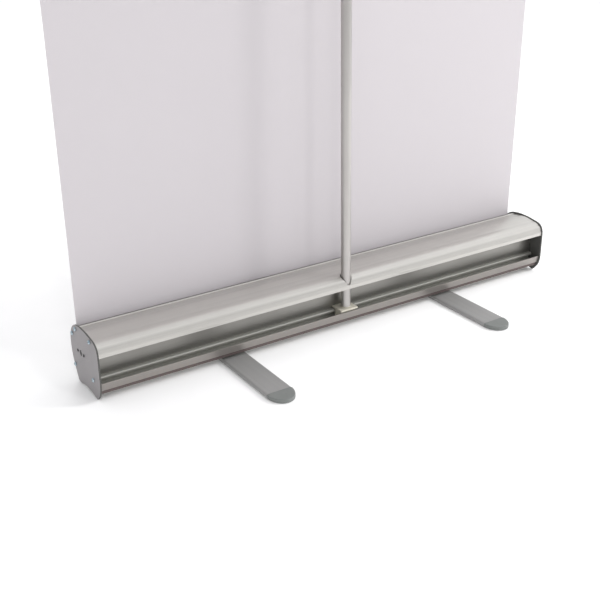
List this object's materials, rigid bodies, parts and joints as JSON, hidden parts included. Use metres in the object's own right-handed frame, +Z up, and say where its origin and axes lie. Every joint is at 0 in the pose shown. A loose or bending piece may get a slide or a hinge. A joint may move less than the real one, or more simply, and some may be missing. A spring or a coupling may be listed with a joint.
{
  "type": "roll-up banner stand",
  "caption": "Free-standing roll-up banner stand: a low aluminium cassette with a sprung roller, a tall blank banner held up by a leaning telescopic mast, and swing-out feet.",
  "frame": {"origin": "on the floor, midway between the pivots of the two feet", "axes": "+X along the cassette to its left end as seen from the mast side, +Y to the rear where the mast stands, +Z up; the banner faces -Y"},
  "size_m": [0.868, 0.39, 2.088],
  "materials": {
    "satin_aluminium": "satin anodised extrusion",
    "plate_grey": "silver-grey painted pressed plate",
    "zinc_plated_steel": "bright bluish zinc plating",
    "plain_steel": "plain",
    "foot_aluminium": "silver satin",
    "grey_plastic": "fine texture",
    "pale_plastic": "moulded",
    "black_plastic": "moulded",
    "banner_film": "matt white film"
  },
  "bodies": {
    "cassette": {"bracket_rivet_left_front": "plain_steel", "bracket_rivet_left_rear": "plain_steel", "bracket_rivet_right_front": "plain_steel", "bracket_rivet_right_rear": "plain_steel", "cassette_body": "satin_aluminium", "end_plate_left": "plate_grey", "end_plate_right": "plate_grey", "foot_pivot_nut_left": "zinc_plated_steel", "foot_pivot_nut_right": "zinc_plated_steel", "foot_pivot_screw_left": "zinc_plated_steel", "foot_pivot_screw_right": "zinc_plated_steel", "foot_spacer_left": "black_plastic", "foot_spacer_right": "black_plastic", "idler_pin": "plain_steel", "mast_socket": "pale_plastic", "plate_screw_left_1": "zinc_plated_steel", "plate_screw_left_2": "zinc_plated_steel", "plate_screw_left_3": "zinc_plated_steel", "plate_screw_left_4": "zinc_plated_steel", "plate_screw_left_5": "zinc_plated_steel", "plate_screw_right_1": "zinc_plated_steel", "plate_screw_right_2": "zinc_plated_steel", "plate_screw_right_3": "zinc_plated_steel", "plate_screw_right_4": "zinc_plated_steel", "plate_screw_right_5": "zinc_plated_steel", "shaft_bracket_left": "plain_steel", "shaft_bracket_right": "plain_steel", "spring_shaft": "plain_steel", "torsion_spring": "plain_steel"},
    "roller": {"roller_tube": "satin_aluminium", "banner_roll": "banner_film", "roller_plug_left": "black_plastic", "roller_plug_right": "black_plastic"},
    "mast_lower": {"mast_foot_plug": "pale_plastic", "mast_lower_tube": "satin_aluminium", "banner": "banner_film"},
    "lower_collar": {"lower_collar": "black_plastic"},
    "mast_middle": {"mast_middle_tube": "satin_aluminium", "middle_guide_bush": "black_plastic"},
    "upper_collar": {"upper_collar": "black_plastic"},
    "mast_upper": {"mast_upper_tube": "satin_aluminium", "upper_guide_bush": "black_plastic", "mast_tip": "black_plastic", "top_rail": "satin_aluminium", "rail_clamp_strip": "grey_plastic", "rail_hook": "black_plastic", "rail_cap_left": "black_plastic", "rail_cap_right": "black_plastic", "hook_screw_left": "zinc_plated_steel", "hook_screw_right": "zinc_plated_steel"},
    "foot_left": {"foot_bar_left": "foot_aluminium", "foot_cap_left_front": "grey_plastic", "foot_cap_left_rear": "grey_plastic"},
    "foot_right": {"foot_bar_right": "foot_aluminium", "foot_cap_right_front": "grey_plastic", "foot_cap_right_rear": "grey_plastic"}
  },
  "joints": [
    {"name": "foot_left_turn", "type": "hinge", "parent": "cassette", "child": "foot_left", "pos_m": [0.208, 0, 0.0035], "axis": [0, 0, 1], "range_deg": [0, 90]},
    {"name": "foot_right_turn", "type": "hinge", "parent": "cassette", "child": "foot_right", "pos_m": [-0.208, 0, 0.0035], "axis": [0, 0, 1], "range_deg": [-90, 0]},
    {"name": "mast_lift", "type": "slide", "parent": "cassette", "child": "mast_lower", "axis": [0, -0.014, 0.9999], "range_m": [0, 0.02]},
    {"name": "lower_collar_twist", "type": "hinge", "parent": "mast_lower", "child": "lower_collar", "pos_m": [0, 0.0398, 0.0396], "axis": [0, -0.014, 0.9999], "range_deg": [0, 90]},
    {"name": "mast_height", "type": "slide", "parent": "mast_lower", "child": "mast_middle", "axis": [0, -0.014, 0.9999], "range_m": [-0.6, 0], "deforming": ["banner"]},
    {"name": "upper_collar_twist", "type": "hinge", "parent": "mast_middle", "child": "upper_collar", "pos_m": [0, 0.0398, 0.0396], "axis": [0, -0.014, 0.9999], "range_deg": [0, 90]},
    {"name": "upper_mast_slide", "type": "slide", "parent": "mast_middle", "child": "mast_upper", "axis": [0, -0.014, 0.9999], "range_m": [-0.6, 0]},
    {"name": "roller_turn", "type": "hinge", "parent": "cassette", "child": "roller", "pos_m": [0, -0.014, 0.055], "axis": [1, 0, 0], "range_deg": [0, 3790]}
  ],
  "couplings": [
    {"joint": "upper_mast_slide", "follows": "mast_height", "ratio": 1},
    {"joint": "roller_turn", "follows": "mast_height", "rad_per_m": -110}
  ]
}
